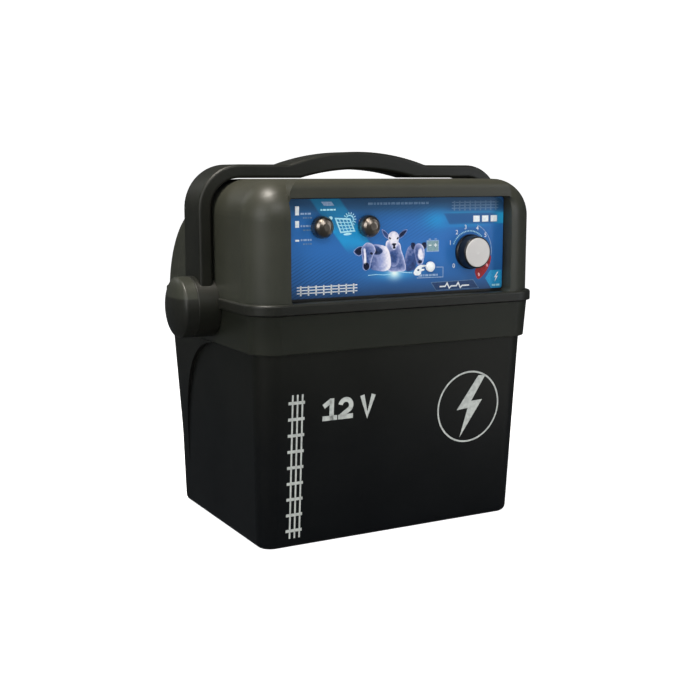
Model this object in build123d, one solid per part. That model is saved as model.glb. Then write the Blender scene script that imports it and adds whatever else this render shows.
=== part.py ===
from build123d import *
from math import atan2, cos, pi, sin, sqrt
import os

# Battery-powered electric fence energizer: a tub that holds a 12 V battery, a lift-off lid that
# holds the electronics, and a carrying handle that pivots on the lid's two side ears.
# Millimetres. +X right, +Y back, +Z up. The control panel faces -Y. The origin lies on the
# floor, midway between the tub's side walls and midway between its rim's front and back.

# ---- driving dimensions ------------------------------------------------------------------------
BASE_HALF_W = 131.6     # tub at the floor
BASE_FRONT = -94.7
BASE_BACK = 101.5
TUB_HALF_W = 136.7      # tub just under its band
TUB_HALF_D = 107.0
TUB_WALL = 3.2
FLOOR_THICK = 3.5
BASE_CORNER = 14.0
TUB_CORNER = 19.0
BAND_BOTTOM = 173.6     # thick band round the rim
BAND_TOP = 206.6
COLUMN_FOOT = 30.0      # where the raised side column starts to stand out of the wall
BAND_PROUD = 4.0
RIM_TOP = 212.5         # tongue inside the lid's skirt
SEAM = 207.4            # underside of the lid's skirt
SKIRT_TOP = 216.5
SKIRT_HALF_W = 145.5
SKIRT_HALF_D = 116.0
LID_TOP = 319.0
LID_HALF_W = 143.8
LID_FRONT = -114.7
LID_WALL = 3.0
PANEL_HALF_W = 111.5    # window and the flat zone round it
PANEL_SETBACK = 2.0
WINDOW_TOP = 303.7
LABEL_FACE = -102.0     # Y of the printed face, down in the window
PIVOT_Y = -11.0         # handle axis
PIVOT_Z = 207.0
HANDLE_INNER_HALF = 146.7
HANDLE_THICK = 12.0
HANDLE_WIDTH = 38.0
HANDLE_UNDER = 319.7
BOSS_R = 27.3
BOSS_INNER = 142.9      # X of the boss's inner and outer faces
BOSS_OUTER = 163.3
STUD_R = 6.0
RUNNING = 0.05          # radial clearance of a running fit
BATTERY = (242.0, 175.0, 177.0)
DIAL_X, DIAL_Z = 73.9, 253.6
BUTTON_X, BUTTON_Z = 30.6, 241.8
BUTTON_BACK = -93.6     # end of the button's stem, at rest
BUTTON_TRAVEL = 0.8
SOLAR_X = (-78.0, -33.0)
SOLAR_Z = 279.0
OUTPUT_X = (-30.0, 30.0)
OUTPUT_Z = 241.0
NICHE_FLOOR = 70.0      # Y of the wall that carries the output terminals

os.makedirs("parts", exist_ok=True)


def save(name, shape):
    export_step(shape, f"parts/{name}.step")


def group(solids):
    """Several separate solids in one node."""
    return Compound(children=list(solids))


def plan(half_w, front, back, corner, z):
    """Rounded rectangle seen from above, at height z."""
    outline = RectangleRounded(2 * half_w, back - front, corner)
    return Pos(0, (front + back) / 2, z) * outline


def slab(half_w, front, back, corner, bottom, top):
    return extrude(plan(half_w, front, back, corner, bottom), top - bottom)


def block(x, y, z):
    """Box from (low, high) pairs."""
    size = [high - low for low, high in (x, y, z)]
    centre = [(high + low) / 2 for low, high in (x, y, z)]
    return Pos(*centre) * Box(*size)


def rod(radius, start, length, axis):
    """Round bar from point start along "x", "y" or "z", backwards where the length is negative."""
    turn = {"x": Rot(0, 90, 0), "y": Rot(-90, 0, 0), "z": Rot(0, 0, 0)}[axis]
    bar = turn * Cylinder(radius, abs(length), align=(Align.CENTER, Align.CENTER, Align.MIN))
    if length < 0:
        bar = {"x": Rot(0, 0, 180), "y": Rot(0, 0, 180), "z": Rot(180, 0, 0)}[axis] * bar
    return Pos(*start) * bar


def turned(points):
    """Solid of revolution about Z from (radius, height) points."""
    return revolve(make_face(Plane.XZ * Polyline(*points, close=True)), Axis.Z)


def mirrored(shape):
    return mirror(shape, about=Plane.YZ)


def fluted(radius, depth, count, height):
    """Prism with a knurled edge, from z = 0 up."""
    rim = []
    for i in range(2 * count):
        r = radius - depth * (i % 2)
        rim.append((r * cos(pi * i / count), r * sin(pi * i / count)))
    return extrude(make_face(Polyline(*rim, close=True)), height)


# ---- battery tub -------------------------------------------------------------------------------
def side_column():
    """Raised part of a side wall, behind and below the pivot, flush with the band."""
    start = (PIVOT_Y - 11, BAND_BOTTOM)
    foot = (74, 60)
    edge = Spline(start, foot, tangents=((1, 0), (0.05, -1)))
    front = [edge, Line(foot, (77, 0)), Line((77, 0), (130, 0)), Line((130, 0), (130, BAND_BOTTOM)),
             Line((130, BAND_BOTTOM), start)]
    return extrude(Plane.YZ * make_face(front), 160, both=True)


def battery_tub():
    walls = loft([plan(BASE_HALF_W, BASE_FRONT, BASE_BACK, BASE_CORNER, 0),
                  plan(TUB_HALF_W, -TUB_HALF_D, TUB_HALF_D, TUB_CORNER, BAND_BOTTOM)])
    walls = fillet(walls.edges().group_by(Axis.Z)[0], 6)
    wide = loft([plan(BASE_HALF_W + 0.6, -94, 102, TUB_CORNER, COLUMN_FOOT),
                 plan(TUB_HALF_W + BAND_PROUD, 0.4 - TUB_HALF_D, TUB_HALF_D - 0.4, TUB_CORNER, BAND_BOTTOM)])
    walls += wide & side_column()
    half_w = TUB_HALF_W + BAND_PROUD
    half_d = TUB_HALF_D + BAND_PROUD
    corner = TUB_CORNER + 3
    band = loft([plan(half_w, -half_d, half_d, corner, BAND_BOTTOM),
                 plan(half_w + 1.8, -half_d - 1.8, half_d + 1.8, corner, BAND_TOP)])
    band = fillet(band.edges().group_by(Axis.Z)[0], 1.2)
    tongue = slab(138.2, -108.7, 108.7, 20, BAND_TOP, RIM_TOP)
    inside = TUB_WALL
    hollow = loft([plan(BASE_HALF_W - inside, BASE_FRONT + inside, BASE_BACK - inside, 11, FLOOR_THICK),
                   plan(TUB_HALF_W - inside, inside - TUB_HALF_D, TUB_HALF_D - inside, 16, BAND_BOTTOM)])
    hollow += loft([plan(TUB_HALF_W - inside, inside - TUB_HALF_D, TUB_HALF_D - inside, 16, BAND_BOTTOM),
                    plan(135.2, -105.7, 105.7, 17, RIM_TOP)])
    tub = walls + band + tongue - hollow
    # seats for the lid's two ears, open at the top
    seat = rod(19, (138.4, PIVOT_Y, PIVOT_Z), 10, "x")
    tub -= seat + mirrored(seat)
    # low ribs that keep the battery from sliding
    mid_y = (BASE_FRONT + BASE_BACK) / 2
    for sx in (-1, 1):
        x = sorted((sx * (BATTERY[0] / 2 + 1), sx * (BATTERY[0] / 2 + 4)))
        for dy in (-55, 55):
            tub += block(x, (mid_y + dy - 12, mid_y + dy + 12), (FLOOR_THICK - 1, FLOOR_THICK + 12))
    for y in (mid_y - BATTERY[1] / 2 - 4, mid_y + BATTERY[1] / 2 + 1):
        for dx in (-70, 70):
            tub += block((dx - 12, dx + 12), (y, y + 3), (FLOOR_THICK - 1, FLOOR_THICK + 12))
    return tub


def rim_gasket():
    ring = slab(138.0, -108.5, 108.5, 20, RIM_TOP, RIM_TOP + 1.8)
    return ring - slab(135.4, -105.9, 105.9, 17.2, RIM_TOP, RIM_TOP + 1.8)


# ---- battery and its leads ---------------------------------------------------------------------
BATTERY_Y = (BASE_FRONT + BASE_BACK) / 2
COVER_Z = FLOOR_THICK + 0.2 + BATTERY[2] - 16
COVER_TOP = COVER_Z + 16
POST_X, POST_Y = 95.0, -58.0
POST_R = 9.0
CLIP_Z = COVER_TOP + 9
PLUG_Y = 22.0


def battery_case():
    half_w, half_d = BATTERY[0] / 2, BATTERY[1] / 2
    case = slab(half_w, BATTERY_Y - half_d, BATTERY_Y + half_d, 5, FLOOR_THICK + 0.2, COVER_Z)
    # the walls between the cells show as shallow grooves on the long sides
    for i in range(1, 6):
        x = -half_w + i * BATTERY[0] / 6
        for y in (BATTERY_Y - half_d, BATTERY_Y + half_d):
            case -= block((x - 2, x + 2), (y - 1.2, y + 1.2), (20, COVER_Z - 14))
    return case


def battery_cover():
    half_w, half_d = BATTERY[0] / 2, BATTERY[1] / 2
    cover = slab(half_w, BATTERY_Y - half_d, BATTERY_Y + half_d, 5, COVER_Z, COVER_TOP)
    cover = fillet(cover.edges().group_by(Axis.Z)[-1], 2.5)
    for sx in (-1, 1):
        cover -= rod(POST_R + 4, (sx * POST_X, POST_Y, COVER_TOP - 4), 6, "z")
    for x in vent_places():
        cover -= rod(9.2, (x, BATTERY_Y + 60, COVER_TOP - 3), 6, "z")
    return cover


def vent_places():
    return [(i - 2.5) * BATTERY[0] / 6.6 for i in range(6)]


def battery_vent_plugs():
    plugs = []
    for x in vent_places():
        plug = rod(9.0, (x, BATTERY_Y + 60, COVER_TOP - 3), 5.5, "z")
        plug -= block((x - 6, x + 6), (BATTERY_Y + 59, BATTERY_Y + 61), (COVER_TOP + 1, COVER_TOP + 3))
        plugs.append(plug)
    return group(plugs)


def battery_posts():
    post = turned([(0, -4), (POST_R, -4), (POST_R - 0.9, 17), (0, 17)])
    return group([Pos(sx * POST_X, POST_Y, COVER_TOP) * post for sx in (-1, 1)])


def clip_jaws(x):
    """Two spring-steel jaws that grip a battery post, each with its tip turned in."""
    z = (CLIP_Z - 6, CLIP_Z + 6)
    jaws = []
    for side in (-1, 1):
        inner, outer, tip = [x + side * reach for reach in (POST_R + 0.2, POST_R + 2.2, 4)]
        jaw = block(sorted((inner, outer)), (POST_Y - 13, POST_Y + 26), z)
        jaws.append(jaw + block(sorted((tip, outer)), (POST_Y - 13, POST_Y - 11), z))
    return group(jaws)


def clip_grips(x):
    """Two insulated finger grips behind the jaws."""
    grips = []
    for side in (-1, 1):
        low, high = sorted((side * 2.5, side * (POST_R + 2.2)))
        grip = block((x + low, x + high), (POST_Y + 26, POST_Y + 64), (CLIP_Z - 6, CLIP_Z + 6))
        grips.append(fillet(grip.edges().filter_by(Axis.Y), 1.5))
    return group(grips)


LEAD_R = 2.4
LEAD_RADII = (12, 12, 12, 12, 7)


def lead(side):
    """Flexible lead from a clip's grip, over the battery, up into the plug. The path is straight
    runs joined by tangent arcs."""
    z = COVER_TOP + LEAD_R + 0.4
    inner = side * 5.5
    points = [(side * (POST_X - 7), POST_Y + 64, CLIP_Z), (side * (POST_X - 7), POST_Y + 74, CLIP_Z),
              (side * (POST_X - 12), POST_Y + 90, z), (side * 56, PLUG_Y + 20, z),
              (side * 24, PLUG_Y + 15, z), (inner, PLUG_Y, z + 1.5), (inner, PLUG_Y, 197)]
    path = FilletPolyline(*points, radius=LEAD_RADII)
    return sweep(Plane(origin=path @ 0, z_dir=path % 0) * Circle(LEAD_R), path=path)


def battery_plug():
    plug = block((-12, 12), (PLUG_Y - 7, PLUG_Y + 7), (197, 212))
    plug = fillet(plug.edges().filter_by(Axis.Z), 1.5)
    return plug


# ---- lid ---------------------------------------------------------------------------------------
def lid_profile(front, top, edge, bottom):
    """Side view: front wall, rounded front edge, flat top, then an arc about the handle axis."""
    rear_r = top - PIVOT_Z
    rear = PIVOT_Y + sqrt(rear_r ** 2 - (bottom - PIVOT_Z) ** 2)
    half = atan2(bottom - PIVOT_Z, rear - PIVOT_Y) / 2 + pi / 4
    middle = (PIVOT_Y + rear_r * cos(half), PIVOT_Z + rear_r * sin(half))
    bend = edge * (1 - cos(pi / 4))
    return make_face([
        Line((front, bottom), (front, top - edge)),
        ThreePointArc((front, top - edge), (front + bend, top - bend), (front + edge, top)),
        Line((front + edge, top), (PIVOT_Y, top)),
        ThreePointArc((PIVOT_Y, top), middle, (rear, bottom)),
        Line((rear, bottom), (front, bottom)),
    ])


def lid_rear_corners(inset, bottom):
    """Sharper rear corners that sink into the rounded shoulders as they rise."""
    points = []
    for degrees, sink in ((4.6, 0), (40, 6.4), (75, 18)):
        reach = LID_TOP - PIVOT_Z - inset - 0.1 - sink
        angle = degrees * pi / 180
        points.append((PIVOT_Y + reach * cos(angle), PIVOT_Z + reach * sin(angle)))
    foot = (points[0][0], bottom)
    outline = [ThreePointArc(*points), Line(points[0], foot), Line(foot, (20, bottom)),
               Line((20, bottom), points[2])]
    end = LID_HALF_W - inset - 0.1
    corners = extrude(Plane.YZ * make_face(outline), end, both=True)
    rounded = [e for e in corners.edges() if abs(abs(e.center().X) - end) < 0.01 and e.center().Y > 60
               and e.center().Z > bottom + 0.01]
    return fillet(rounded, 11 - inset)


def lid_body(inset, bottom):
    """Rounded shoulders at both ends and a flatter, slightly sunk zone between them."""
    top = LID_TOP - inset
    shoulder = extrude(Plane.YZ * lid_profile(LID_FRONT + inset, top, 34 - inset, bottom),
                       LID_HALF_W - inset, both=True)
    ends = shoulder.faces().filter_by(Axis.X).edges()
    shoulder = fillet([e for e in ends if e.center().Z > bottom + 0.01], 31 - inset)
    middle = extrude(Plane.YZ * lid_profile(LID_FRONT + PANEL_SETBACK + inset, top, 8 - inset / 2, bottom),
                     PANEL_HALF_W - inset, both=True)
    ends = block((inset - PANEL_HALF_W, PANEL_HALF_W - inset), (-140, 140), (bottom - 5, top))
    middle &= fillet(ends.edges().filter_by(Axis.Y).group_by(Axis.Z)[-1], 14 - inset)
    return shoulder + middle + lid_rear_corners(inset, bottom)


SEAT_BACK = -99.0       # ledge that the front panel rests on
BOSS_PLACES = [(-127, -84), (127, -84), (-112, 58), (112, 58)]


def lid_shell():
    outer = lid_body(0, SKIRT_TOP - 2)
    skirt = slab(SKIRT_HALF_W, -SKIRT_HALF_D, SKIRT_HALF_D, 25, SEAM, SKIRT_TOP)
    skirt = fillet(skirt.edges().group_by(Axis.Z)[-1], 2.2)
    skirt = fillet(skirt.edges().group_by(Axis.Z)[0], 0.8)
    inner = lid_body(LID_WALL, 214.5)
    fittings = block((-114.5, 114.5), (-113, -96), (212.5, 306.7))
    fittings += block((-61, 61), (67, 130), (212.5, 265))
    for x, y in BOSS_PLACES:
        fittings += rod(4.5, (x, y, 217.1), 120, "z")
    shell = outer - inner + (outer & fittings)
    shell += skirt - slab(138.8, -109.3, 109.3, 20.6, SEAM, 214.5) - inner
    shell += block((-114.5, 114.5), (-112, -96), (214.6, 216.5))
    # window: recess for the panel, and the way through behind it
    window = block((-PANEL_HALF_W, PANEL_HALF_W), (-130, SEAT_BACK), (SKIRT_TOP, WINDOW_TOP))
    shell -= fillet(window.edges().filter_by(Axis.Y), 3)
    shell -= block((-101, 101), (-110, -90), (226, 294))
    # niche at the back for the output terminals, out of the handle's way
    shell -= fillet(block((-58, 58), (NICHE_FLOOR, 140), (221, 262)).edges().filter_by(Axis.Y), 4)
    for x in OUTPUT_X:
        shell -= rod(3.1, (x, 60, OUTPUT_Z), 20, "y")
    for x, y in BOSS_PLACES:
        shell -= rod(1.5, (x, y, 216), 16, "z")
    for x, z in PANEL_SCREWS:
        shell -= rod(1.6, (x, -100, z), 6, "y")
    # round recess for the handle's boss, and the ear behind it that carries the pivot
    recess = rod(BOSS_R + 0.6, (BOSS_INNER - 0.3, PIVOT_Y, PIVOT_Z), 10, "x")
    shell -= recess + mirrored(recess)
    ear = rod(18.5, (138.6, PIVOT_Y, PIVOT_Z), BOSS_INNER - 0.3 - 138.6, "x")
    stud_seat = rod(STUD_R, (140, PIVOT_Y, PIVOT_Z), 8, "x")
    return shell + ear + mirrored(ear) - stud_seat - mirrored(stud_seat)


PANEL_SCREWS = [(-106, 222), (106, 222), (-106, 298), (106, 298)]
PANEL_THICK = 2.5
PANEL_BACK = SEAT_BACK - 0.1
PANEL_FRONT = PANEL_BACK - PANEL_THICK
BOARD_FRONT = -86.0
BOARD_SCREWS = [(-90, 231), (95, 231), (-90, 289), (95, 289)]


def front_panel():
    panel = block((-111.2, 111.2), (PANEL_FRONT, PANEL_BACK), (SKIRT_TOP + 0.3, WINDOW_TOP - 0.3))
    panel = fillet(panel.edges().filter_by(Axis.Y), 2.8)
    for x, z in BOARD_SCREWS:
        panel += rod(3.5, (x, PANEL_BACK - 0.5, z), BOARD_FRONT - PANEL_BACK + 0.5, "y")
        panel -= rod(1.2, (x, BOARD_FRONT - 9, z), 10, "y")
    for x, z in PANEL_SCREWS:
        panel -= rod(1.3, (x, PANEL_BACK - 1.6, z), 3, "y")
    return panel - panel_holes()


def panel_holes():
    """Holes for the dial's bushing, the button and the two solar studs."""
    holes = rod(5.0, (DIAL_X, -104, DIAL_Z), 10, "y")
    holes += rod(3.0, (BUTTON_X, -104, BUTTON_Z), 10, "y")
    for x in SOLAR_X:
        holes += rod(2.6, (x, -104, SOLAR_Z), 10, "y")
    return holes


def panel_label():
    label = block((-110.8, 110.8), (LABEL_FACE, PANEL_FRONT), (SKIRT_TOP + 2.5, WINDOW_TOP - 1))
    return fillet(label.edges().filter_by(Axis.Y), 2.5) - panel_holes()


def small_screw(shank_r, head_r, head, length):
    """Pan-head screw with a cross recess: the head stands on z = 0, the shank goes down."""
    body = turned([(0, -length), (shank_r, -length), (shank_r, 0), (head_r, 0),
                   (head_r, head * 0.55), (head_r * 0.62, head), (0, head)])
    cross = Box(head_r, head_r / 4, head) + Box(head_r / 4, head_r, head)
    return body - Pos(0, 0, head) * cross


def screws(places, shank_r, head_r, head, length, facing):
    """Group of equal screws. Facing "down" and "back" say where the heads point."""
    turn = {"down": Rot(180, 0, 0), "back": Rot(-90, 0, 0)}[facing]
    return group([Pos(*p) * turn * small_screw(shank_r, head_r, head, length) for p in places])


def lid_base():
    base = slab(138.4, -109.0, 95.5, 24.5, 214.6, 217.0)
    base -= block((-115.2, 115.2), (-112, -95.3), (214, 217.5))
    base -= block((-61.6, 61.6), (66.3, 99), (214, 217.5))
    for x, y in BOSS_PLACES:
        base -= rod(1.7, (x, y, 214), 4, "z")
    return base - block((-9, 9), (PLUG_Y - 4, PLUG_Y + 4), (214, 218))


def battery_socket():
    socket = block((-15, 15), (PLUG_Y - 10, PLUG_Y + 10), (204, 214.6))
    socket = fillet(socket.edges().filter_by(Axis.Z), 2)
    return socket - block((-12.3, 12.3), (PLUG_Y - 7.3, PLUG_Y + 7.3), (204, 212.6))


# ---- electronics -------------------------------------------------------------------------------
def circuit_board():
    board = block((-96, 101), (BOARD_FRONT, BOARD_FRONT + 1.6), (224, 296))
    for x, z in BOARD_SCREWS:
        board -= rod(1.6, (x, BOARD_FRONT - 1, z), 4, "y")
    return board


def board_chips():
    """Controller, driver and two relays soldered to the back of the board."""
    back = BOARD_FRONT + 1.6
    sizes = [(-40, 262, 14, 14, 2.5), (-5, 268, 20, 8, 3.5), (40, 276, 18, 14, 14), (72, 276, 18, 14, 14)]
    chips = []
    for x, z, w, h, t in sizes:
        chips.append(block((x - w / 2, x + w / 2), (back, back + t), (z - h / 2, z + h / 2)))
    return group(chips)


def transformer_core():
    core = block((-104, -38), (-8, 26), (217.0, 272.0))
    for x in (-93, -60):
        core -= block((x, x + 11), (-9, 27), (228, 261))
    return core


def transformer_coil():
    coil = block((-92.8, -49.2), (-24, 42), (228.2, 260.8)) - block((-82.2, -59.8), (-8.2, 26.2), (228, 261))
    return fillet(coil.edges().filter_by(Axis.Z).group_by(Axis.Y)[0], 4)


CAPACITOR_X = (-8.0, 34.0)


def storage_capacitors():
    cans = []
    for x in CAPACITOR_X:
        can = rod(17.5, (x, 12, 217.0), 62, "z")
        cans.append(fillet(can.edges().filter_by(GeomType.CIRCLE), 2))
    return group(cans)


def heat_sink():
    sink = block((64, 112), (-10, -6), (217.0, 259))
    for i in range(7):
        x = 64 + i * 7.6
        sink += block((x, x + 2.4), (-6.5, 22), (217.0, 259))
    return sink


def power_transistors():
    return group([block((x - 8, x + 8), (-15, -10), (232, 253)) for x in (76, 100)])


def output_wire(x, coil_x, height):
    """Insulated wire from the transformer's coil to an output stud."""
    points = [(coil_x, 42, height), (coil_x, 50, height), (x - 14, 51, height), (x, 49, OUTPUT_Z),
              (x, 54, OUTPUT_Z)]
    path = FilletPolyline(*points, radius=(3, 3, 2))
    return sweep(Plane(origin=path @ 0, z_dir=path % 0) * Circle(1.6), path=path)


def control_body():
    """Potentiometer behind the panel, with its threaded bushing through it."""
    body = rod(8.0, (DIAL_X, PANEL_BACK, DIAL_Z), 9.5, "y") + rod(4.9, (DIAL_X, -104.5, DIAL_Z), 6, "y")
    return body - rod(3.0 + RUNNING, (DIAL_X, -106, DIAL_Z), 13.5, "y")


def control_nut():
    nut = extrude(RegularPolygon(6.3, 6), 2.2) - Cylinder(4.95, 20)
    return Pos(DIAL_X, LABEL_FACE, DIAL_Z) * Rot(90, 0, 0) * nut


def test_switch():
    """Small push switch on the front of the board."""
    x, z = BUTTON_X, BUTTON_Z
    return block((x - 4, x + 4), (BUTTON_BACK + BUTTON_TRAVEL + 0.1, BOARD_FRONT), (z - 4, z + 4))


def status_led():
    x, z = BUTTON_X + 9, BUTTON_Z
    return rod(2.5, (x, BOARD_FRONT, z), -8, "y")


# ---- dial and button ---------------------------------------------------------------------------
def control_shaft():
    return rod(3.0, (DIAL_X, -113.9, DIAL_Z), 20.4, "y")


def dial_knob():
    """Ribbed cap, hollow behind over the bushing's nut, with a seat for its face disc."""
    cap = turned([(0, 0), (15.8, 0), (15.8, 2.2), (14.9, 3.2), (14.3, 12.2), (13.6, 13.0), (0, 13.0)])
    for i in range(36):
        cap -= Rot(0, 0, 10 * i) * Pos(15.2, 0, 8.4) * Cylinder(0.45, 10)
    cap -= Cylinder(9, 7.2) + Pos(0, 0, 12.7) * Cylinder(13.0, 2.0)
    cap -= Pos(0, 0, 7) * Cylinder(3.0, 14.6)
    return Pos(DIAL_X, LABEL_FACE - 0.5, DIAL_Z) * Rot(90, 0, 0) * cap


def dial_face():
    disc = turned([(0, 0), (12.95, 0), (12.95, 1.2), (12.2, 1.7), (0, 1.9)])
    return Pos(DIAL_X, LABEL_FACE - 0.5 - 11.7, DIAL_Z) * Rot(90, 0, 0) * disc


def button_cap():
    """Domed push button whose stem reaches through the panel to the switch."""
    cap = turned([(0, 0.0), (2.9, 0.0), (2.9, 9.7), (4.5, 9.7), (4.5, 11.4), (3.8, 12.2), (2.2, 12.8),
                  (0, 13.0)])
    return Pos(BUTTON_X, BUTTON_BACK, BUTTON_Z) * Rot(90, 0, 0) * cap


# ---- terminals ---------------------------------------------------------------------------------
def solar_stud(x):
    stud = turned([(0, 0), (5.5, 0), (5.5, 1.5), (2.5, 1.5), (2.5, 15), (0, 15)])
    return Pos(x, PANEL_BACK + 1.5, SOLAR_Z) * Rot(90, 0, 0) * stud


def solar_washer(x):
    ring = Cylinder(7.0, 1.0) - Cylinder(2.55, 2)
    return Pos(x, LABEL_FACE - 0.5, SOLAR_Z) * Rot(90, 0, 0) * ring


def solar_nut(x):
    """Knurled dome nut, blind, on the stud."""
    dome = turned([(0, 0), (9.6, 0), (9.6, 3.5), (9.2, 5.6), (8.1, 7.8), (6.3, 9.6), (3.6, 10.8), (0, 11.3)])
    nut = dome & fluted(9.6, 0.55, 30, 12)
    nut -= Cylinder(2.5 + RUNNING, 28)
    nut += Pos(0, 0, 10.9) * Cylinder(2.8, 0.8)
    return Pos(x, LABEL_FACE - 1.05, SOLAR_Z) * Rot(90, 0, 0) * nut


def output_stud(x):
    stud = Cylinder(3.0, 28, align=(Align.CENTER, Align.CENTER, Align.MIN))
    stud += extrude(RegularPolygon(6.0, 6), 6) - Cylinder(3.0, 2)
    stud = Pos(x, 54.0, OUTPUT_Z) * Rot(-90, 0, 0) * stud
    return stud + Pos(x, 66.4, OUTPUT_Z) * Rot(-90, 0, 0) * Cylinder(7, 1.1)


def output_washer(x):
    ring = Cylinder(8.0, 1.4) - Cylinder(3.05, 3)
    return Pos(x, NICHE_FLOOR + 0.7, OUTPUT_Z) * Rot(-90, 0, 0) * ring


def output_knob(x):
    """Star knob that clamps the fence or earth wire on the washer."""
    knob = extrude(Circle(10.4), 12.6)
    for i in range(6):
        knob -= Rot(0, 0, 60 * i) * Pos(12.6, 0, 7.8) * Cylinder(3.6, 10)
    knob = knob & turned([(0, 0), (8.6, 0), (8.6, 2.6), (10.6, 3.4), (10.6, 10.4), (8.4, 12.6), (0, 12.6)])
    knob -= Cylinder(3.0 + RUNNING, 23.4)
    return Pos(x, NICHE_FLOOR + 1.45, OUTPUT_Z) * Rot(-90, 0, 0) * knob


# ---- handle ------------------------------------------------------------------------------------
HANDLE_TOP = HANDLE_UNDER + HANDLE_THICK
OUTER_BEND = 39.0
INNER_BEND = 27.0
ARCH_TOP = (72.0, 343.6)      # half-length and crest of the raised grip
ARCH_UNDER = (60.0, 327.5)
GROOVE_PITCH = 3.0


def strap_side(half_x, top, bend, arch_half, crest):
    """One edge of the strap as seen from the front: leg, bend, flat, arch, flat, bend, leg."""
    mid = bend * (1 - cos(pi / 4))
    return [Line((-half_x, PIVOT_Z), (-half_x, top - bend)),
            ThreePointArc((-half_x, top - bend), (-half_x + mid, top - mid), (-half_x + bend, top)),
            Line((-half_x + bend, top), (-arch_half, top)),
            ThreePointArc((-arch_half, top), (0, crest), (arch_half, top)),
            Line((arch_half, top), (half_x - bend, top)),
            ThreePointArc((half_x - bend, top), (half_x - mid, top - mid), (half_x, top - bend)),
            Line((half_x, top - bend), (half_x, PIVOT_Z))]


def grip_grooves(arch_half, crest, foot, reach, side):
    """Fine grooves across the raised grip, side 1 on its top and -1 on its underside. The arch is
    the circle through its crest and its two feet."""
    rise = crest - foot
    arch_r = (arch_half ** 2 + rise ** 2) / (2 * rise)
    count = int(reach / GROOVE_PITCH)
    grooves = []
    for i in range(-count, count + 1):
        x = i * GROOVE_PITCH
        z = crest - arch_r + sqrt(arch_r ** 2 - x ** 2) + side * 0.35
        grooves.append(rod(0.85, (x, PIVOT_Y - HANDLE_WIDTH, z), 2 * HANDLE_WIDTH, "y"))
    return group(grooves)


def handle_bail():
    outer_half = HANDLE_INNER_HALF + HANDLE_THICK
    outline = strap_side(outer_half, HANDLE_TOP, OUTER_BEND, *ARCH_TOP)
    outline += strap_side(HANDLE_INNER_HALF, HANDLE_UNDER, INNER_BEND, *ARCH_UNDER)
    outline += [Line((-outer_half, PIVOT_Z), (-HANDLE_INNER_HALF, PIVOT_Z)),
                Line((outer_half, PIVOT_Z), (HANDLE_INNER_HALF, PIVOT_Z))]
    section = make_face(outline)
    corners = [v for v in section.vertices() if abs(abs(v.X) - ARCH_TOP[0]) < 0.1]
    section = fillet(corners, 10)
    strap = Pos(0, PIVOT_Y, 0) * extrude(Plane.XZ * section, HANDLE_WIDTH / 2, both=True)
    rims = strap.faces().filter_by(Axis.Y).edges()
    strap = fillet([e for e in rims if e.center().Z > PIVOT_Z + 1], 2.6)
    disc = rod(BOSS_R, (BOSS_INNER, PIVOT_Y, PIVOT_Z), BOSS_OUTER - BOSS_INNER, "x")
    disc = fillet(disc.edges().group_by(Axis.X)[-1], 1.0)
    bore = rod(STUD_R + 2, (140, PIVOT_Y, PIVOT_Z), 30, "x")
    bore += rod(11.5, (159.5, PIVOT_Y, PIVOT_Z), 10, "x")
    bail = strap + disc + mirrored(disc) - bore - mirrored(bore)
    bail -= grip_grooves(*ARCH_TOP, HANDLE_TOP, 60, 1)
    return bail - grip_grooves(*ARCH_UNDER, HANDLE_UNDER, 45, -1)


def handle_bushes():
    bush = rod(STUD_R + 2, (BOSS_INNER + 0.2, PIVOT_Y, PIVOT_Z), 16.2, "x")
    bush -= rod(STUD_R + RUNNING, (140, PIVOT_Y, PIVOT_Z), 30, "x")
    return group([bush, mirrored(bush)])


def pivot_cap():
    """Deep round cap over the pivot: a straight rim, a full dome, and a ring that clips into the
    handle's boss."""
    r, rim, wall = BOSS_R - 0.3, 9.2, 2.6
    dome_height = 8.0
    dome = EllipticalCenterArc((0, rim), r, dome_height, 90, arc_size=-90)
    walls = Polyline((r, rim), (r, 0), (r - wall, 0), (r - wall, rim - 2), (r - 5, rim + 1),
                     (0, rim + dome_height - wall), (0, rim + dome_height))
    cap = revolve(Plane.XZ * make_face([dome, *walls.edges()]), Axis.Z)
    for angle in (0, 90, 180, 270):
        cap += Rot(0, 0, angle) * block((11.3, r - wall + 0.4), (-1, 1), (0, 3.4))
    cap += Pos(0, 0, 0.2) * (Cylinder(11.4, 4.4) - Cylinder(9.6, 10))
    return Pos(BOSS_OUTER, PIVOT_Y, PIVOT_Z) * Rot(0, 90, 0) * cap


def pivot_studs():
    stud = rod(STUD_R, (140, PIVOT_Y, PIVOT_Z), 20, "x") - rod(2.5, (150, PIVOT_Y, PIVOT_Z), 12, "x")
    return group([stud, mirrored(stud)])


def pivot_washers():
    ring = rod(9.0, (160, PIVOT_Y, PIVOT_Z), 1.2, "x") - rod(2.8, (159, PIVOT_Y, PIVOT_Z), 5, "x")
    return group([ring, mirrored(ring)])


def pivot_screws():
    screw = Pos(161.2, PIVOT_Y, PIVOT_Z) * Rot(0, 90, 0) * small_screw(2.5, 5.0, 3.2, 10.5)
    return group([screw, mirrored(screw)])


# ---- write the nodes ---------------------------------------------------------------------------
save("battery_tub", battery_tub())
save("rim_gasket", rim_gasket())
save("battery_case", battery_case())
save("battery_cover", battery_cover())
save("battery_vent_plugs", battery_vent_plugs())
save("battery_posts", battery_posts())
for polarity, side in (("negative", -1), ("positive", 1)):
    save(f"{polarity}_clip_jaws", clip_jaws(side * POST_X))
    save(f"{polarity}_clip_grips", clip_grips(side * POST_X))
    save(f"{polarity}_lead", lead(side))
save("battery_plug", battery_plug())

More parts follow.
